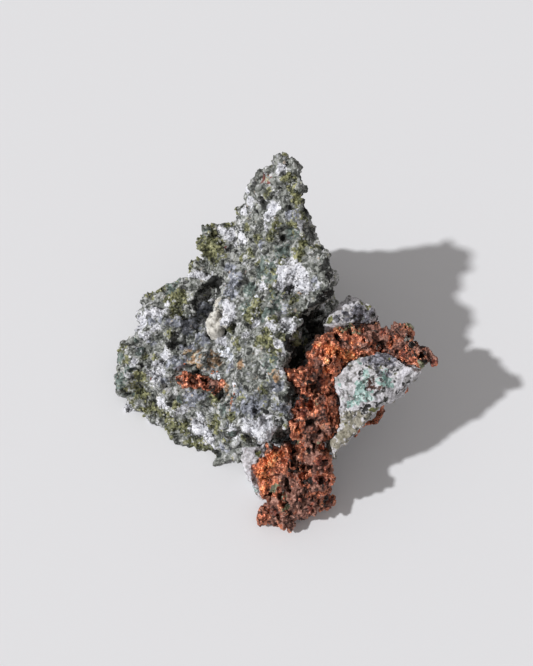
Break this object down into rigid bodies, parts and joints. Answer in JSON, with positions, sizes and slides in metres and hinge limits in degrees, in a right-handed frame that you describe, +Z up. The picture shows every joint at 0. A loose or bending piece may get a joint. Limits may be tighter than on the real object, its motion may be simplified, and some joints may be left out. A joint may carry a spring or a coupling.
{
  "type": "native copper specimen",
  "caption": "Hand-size mineral specimen: a branching vein of native copper between a peaked green-grey basalt matrix and a pale overhanging slab of zeolite rock.",
  "frame": {"origin": "middle of the underside of the bounding box, on the surface the specimen rests on", "axes": "+Z up from the resting face to the peak, +X from the low left end to the hooked copper tip, +Y from the copper foot in front to the back"},
  "size_m": [0.0654, 0.0678, 0.0452],
  "materials": {
    "basalt": "rough, granular, grey-green with olive epidote and white zeolite spots",
    "zeolite_rock": "rough, chalky grey-white with a turquoise tint",
    "native_copper": "hackly native copper, brown tarnish with bright copper-red edges",
    "calcite": "cream, waxy crystal"
  },
  "bodies": {
    "root": {"matrix_rock": "basalt", "pale_slab": "zeolite_rock", "copper_vein": "native_copper", "copper_bleb": "native_copper", "calcite_crystal": "calcite"}
  },
  "joints": []
}
